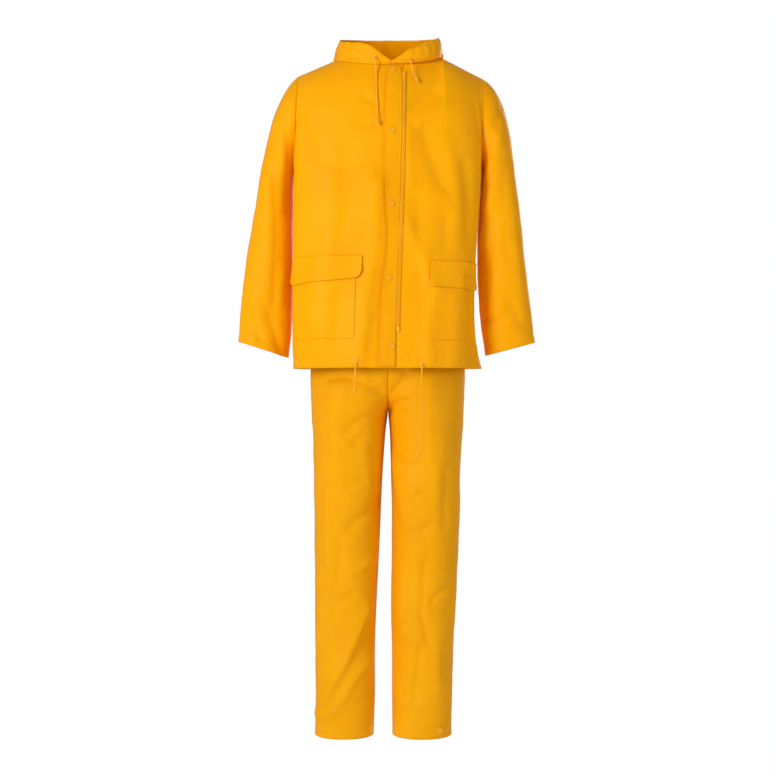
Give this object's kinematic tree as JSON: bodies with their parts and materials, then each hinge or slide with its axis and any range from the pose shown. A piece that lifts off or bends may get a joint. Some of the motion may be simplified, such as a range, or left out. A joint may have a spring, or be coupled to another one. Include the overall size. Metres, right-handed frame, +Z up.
{
  "type": "rain suit",
  "caption": "Worn, hollow two-piece rain suit: hooded zip jacket with storm flap, flapped patch pockets and hem cords over plain trousers.",
  "frame": {"origin": "between the shoulders, level with the neck points, in the plane of the side outline", "axes": "+Z up, -Y to the front of the suit, +X to the wearer's left"},
  "size_m": [0.683, 0.3324, 1.6198],
  "materials": {
    "jacket_cloth": "satin coated cloth",
    "trouser_cloth": "satin coated cloth",
    "zip_plastic": "moulded",
    "snap_plastic": "moulded",
    "cord": "braided"
  },
  "bodies": {
    "root": {"back": "jacket_cloth", "front_right": "jacket_cloth", "front_left": "jacket_cloth", "sleeve_right": "jacket_cloth", "sleeve_left": "jacket_cloth", "hood": "jacket_cloth", "storm_flap": "jacket_cloth", "pocket_patch_right": "jacket_cloth", "pocket_patch_left": "jacket_cloth", "pocket_flap_right": "jacket_cloth", "pocket_flap_left": "jacket_cloth", "leg_right": "trouser_cloth", "leg_left": "trouser_cloth", "waistband": "trouser_cloth", "zip": "zip_plastic", "zip_box": "zip_plastic", "snap_1": "snap_plastic", "snap_2": "snap_plastic", "snap_3": "snap_plastic", "snap_4": "snap_plastic", "snap_5": "snap_plastic", "snap_leg_right": "snap_plastic", "snap_leg_left": "snap_plastic", "eyelet_hood_right": "snap_plastic", "eyelet_hood_left": "snap_plastic", "eyelet_hem_right": "snap_plastic", "eyelet_hem_left": "snap_plastic", "hood_cord_right": "cord", "hood_cord_left": "cord", "hem_cord_right": "cord", "hem_cord_left": "cord", "hood_knot_right": "cord", "hood_knot_left": "cord", "hem_knot_right": "cord", "hem_knot_left": "cord"}
  },
  "joints": []
}
